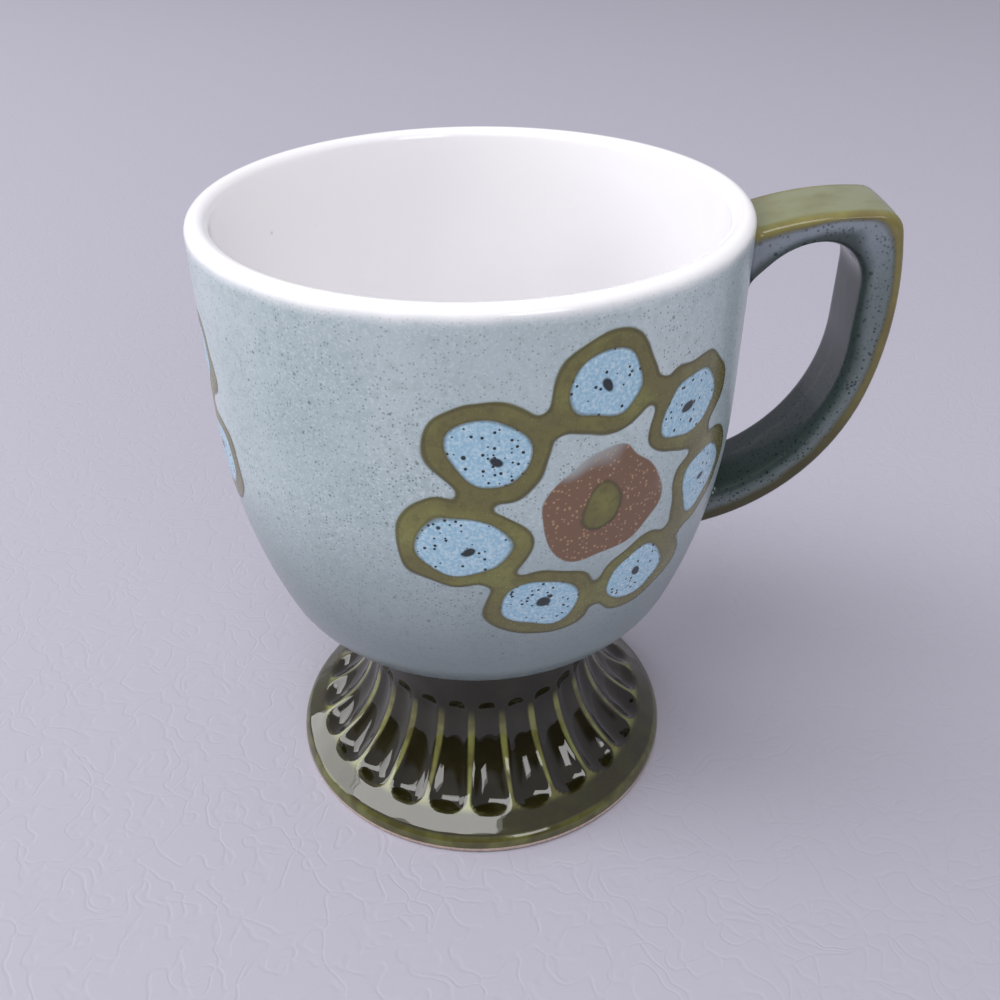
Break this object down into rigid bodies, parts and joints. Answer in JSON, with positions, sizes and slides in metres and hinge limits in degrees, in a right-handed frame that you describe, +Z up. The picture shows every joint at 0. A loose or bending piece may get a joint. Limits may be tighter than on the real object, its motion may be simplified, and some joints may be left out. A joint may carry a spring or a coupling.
{
  "type": "pedestal mug",
  "caption": "Stoneware drinking mug with a straight-sided bowl, a fluted trumpet foot and a strap handle, white inside and glazed speckled grey-blue and olive outside.",
  "frame": {"origin": "centre of the foot's resting ring, on the bowl's axis, at the level of the table", "axes": "+Z up along the bowl's axis, +X towards the handle"},
  "size_m": [0.1151, 0.0908, 0.115],
  "materials": {
    "glaze": "glossy speckled grey-blue glaze on the bowl and the handle's sides, olive green on the handle's outer face and the foot, white inside"
  },
  "bodies": {
    "root": {"mug": "glaze"}
  },
  "joints": []
}
